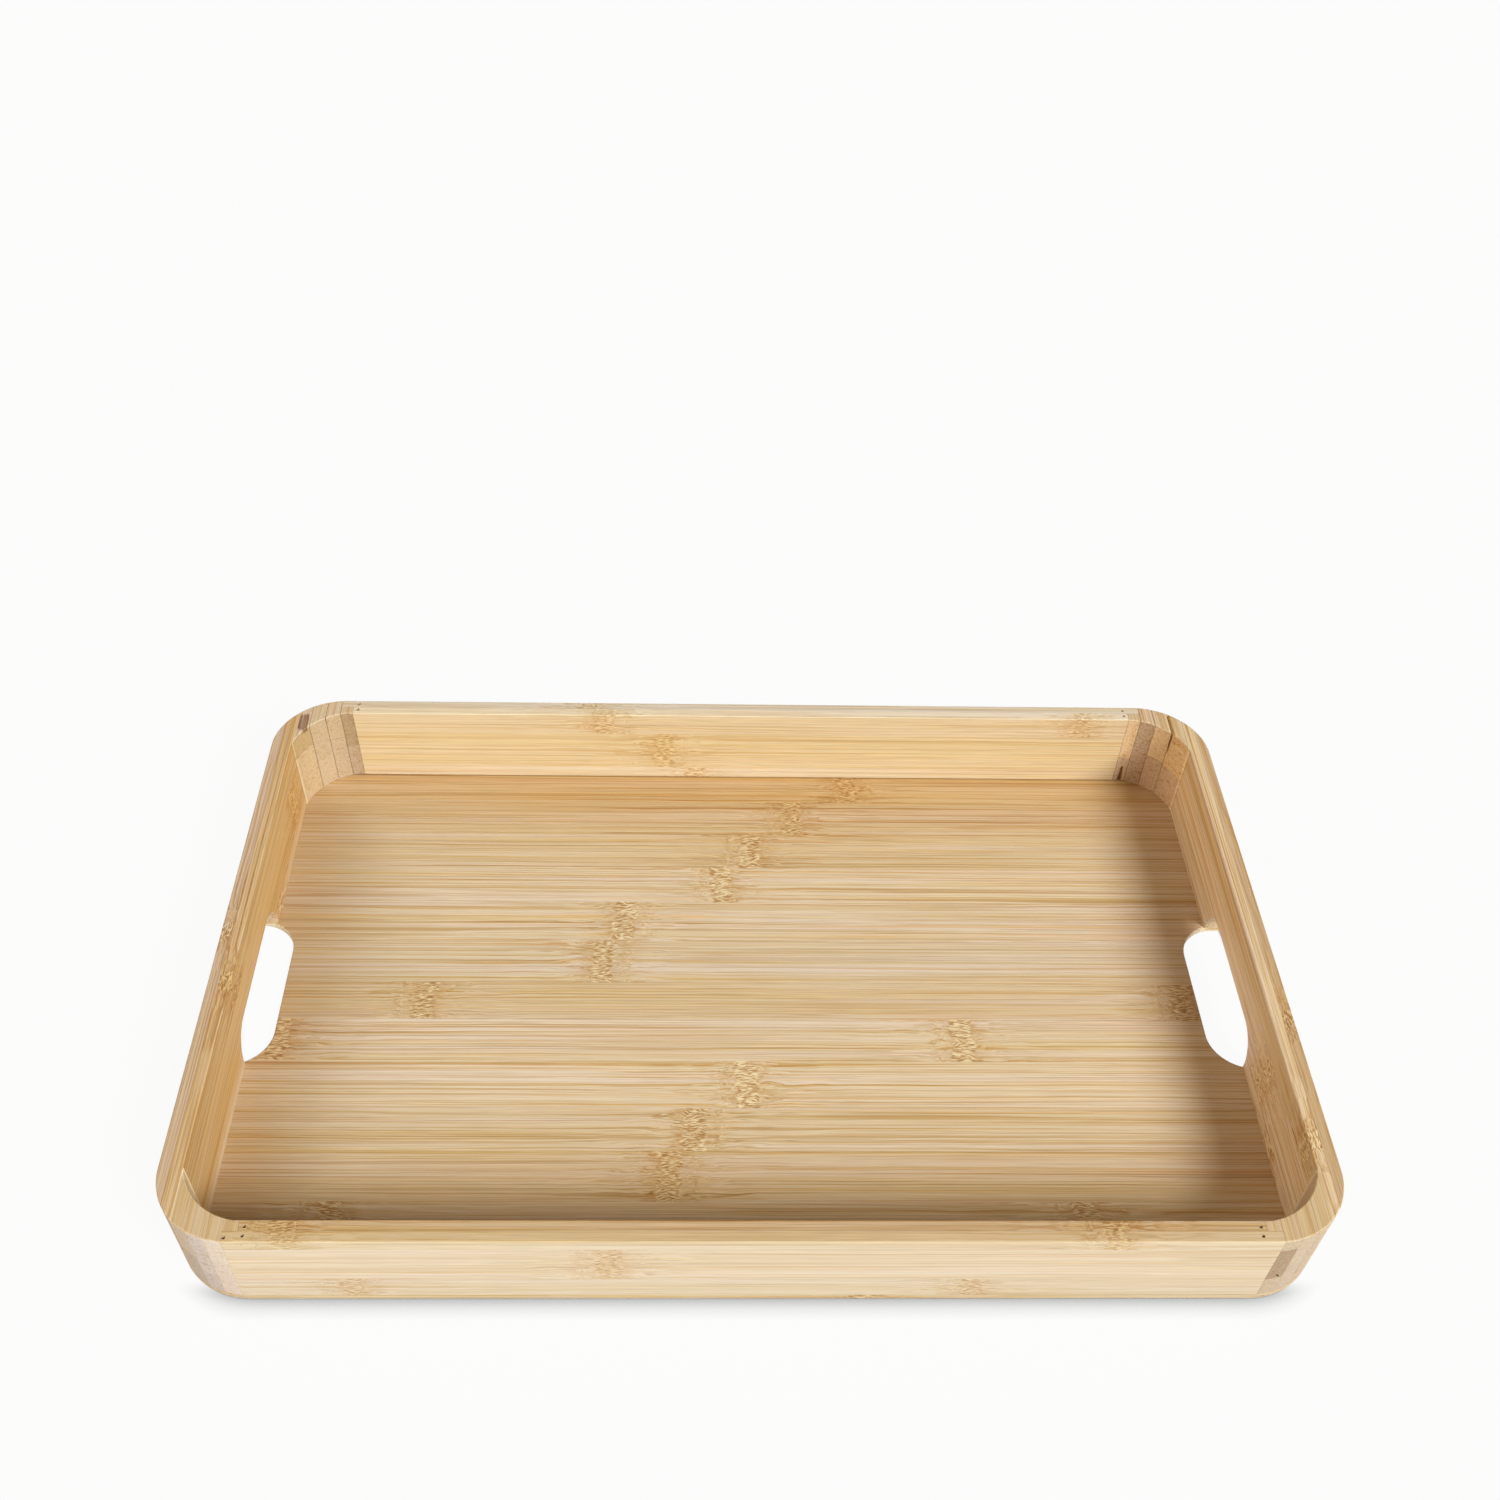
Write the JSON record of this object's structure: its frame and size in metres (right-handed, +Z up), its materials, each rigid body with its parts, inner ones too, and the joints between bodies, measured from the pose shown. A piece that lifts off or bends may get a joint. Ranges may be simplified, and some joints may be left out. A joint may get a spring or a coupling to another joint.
{
  "type": "serving tray",
  "caption": "Rectangular laminated bamboo serving tray with rounded corners, low straight rails and a hand cut-out through the foot of each end.",
  "frame": {"origin": "centre of the tray's underside, on the surface that the tray stands on", "axes": "+X along the tray's length, towards the right end; +Y towards the rear rail; +Z up, out of the tray's open top"},
  "size_m": [0.43, 0.286, 0.042],
  "materials": {
    "floor_bamboo": "planed and clear-oiled bamboo strips, satin",
    "rail_bamboo": "planed and clear-oiled bamboo plies, satin",
    "block_bamboo": "laminated bamboo block with end grain showing on the rounded faces, matt satin",
    "pin_steel": "dark wire pin, sunk below the surface"
  },
  "bodies": {
    "root": {"corner_front_left_ply_1": "block_bamboo", "corner_front_left_ply_2": "block_bamboo", "corner_front_left_ply_3": "block_bamboo", "corner_front_left_ply_4": "block_bamboo", "corner_front_right_ply_1": "block_bamboo", "corner_front_right_ply_2": "block_bamboo", "corner_front_right_ply_3": "block_bamboo", "corner_front_right_ply_4": "block_bamboo", "corner_rear_left_ply_1": "block_bamboo", "corner_rear_left_ply_2": "block_bamboo", "corner_rear_left_ply_3": "block_bamboo", "corner_rear_left_ply_4": "block_bamboo", "corner_rear_right_ply_1": "block_bamboo", "corner_rear_right_ply_2": "block_bamboo", "corner_rear_right_ply_3": "block_bamboo", "corner_rear_right_ply_4": "block_bamboo", "floor_strip_01": "floor_bamboo", "floor_strip_02": "floor_bamboo", "floor_strip_03": "floor_bamboo", "floor_strip_04": "floor_bamboo", "floor_strip_05": "floor_bamboo", "floor_strip_06": "floor_bamboo", "floor_strip_07": "floor_bamboo", "floor_strip_08": "floor_bamboo", "floor_strip_09": "floor_bamboo", "floor_strip_10": "floor_bamboo", "floor_strip_11": "floor_bamboo", "floor_strip_12": "floor_bamboo", "floor_strip_13": "floor_bamboo", "front_rail_inner_ply": "rail_bamboo", "front_rail_outer_ply": "rail_bamboo", "left_rail_inner_ply": "rail_bamboo", "left_rail_outer_ply": "rail_bamboo", "pin_front_left_inner": "pin_steel", "pin_front_left_outer": "pin_steel", "pin_front_right_inner": "pin_steel", "pin_front_right_outer": "pin_steel", "pin_rear_left_inner": "pin_steel", "pin_rear_left_outer": "pin_steel", "pin_rear_right_inner": "pin_steel", "pin_rear_right_outer": "pin_steel", "rear_rail_inner_ply": "rail_bamboo", "rear_rail_outer_ply": "rail_bamboo", "right_rail_inner_ply": "rail_bamboo", "right_rail_outer_ply": "rail_bamboo"}
  },
  "joints": []
}
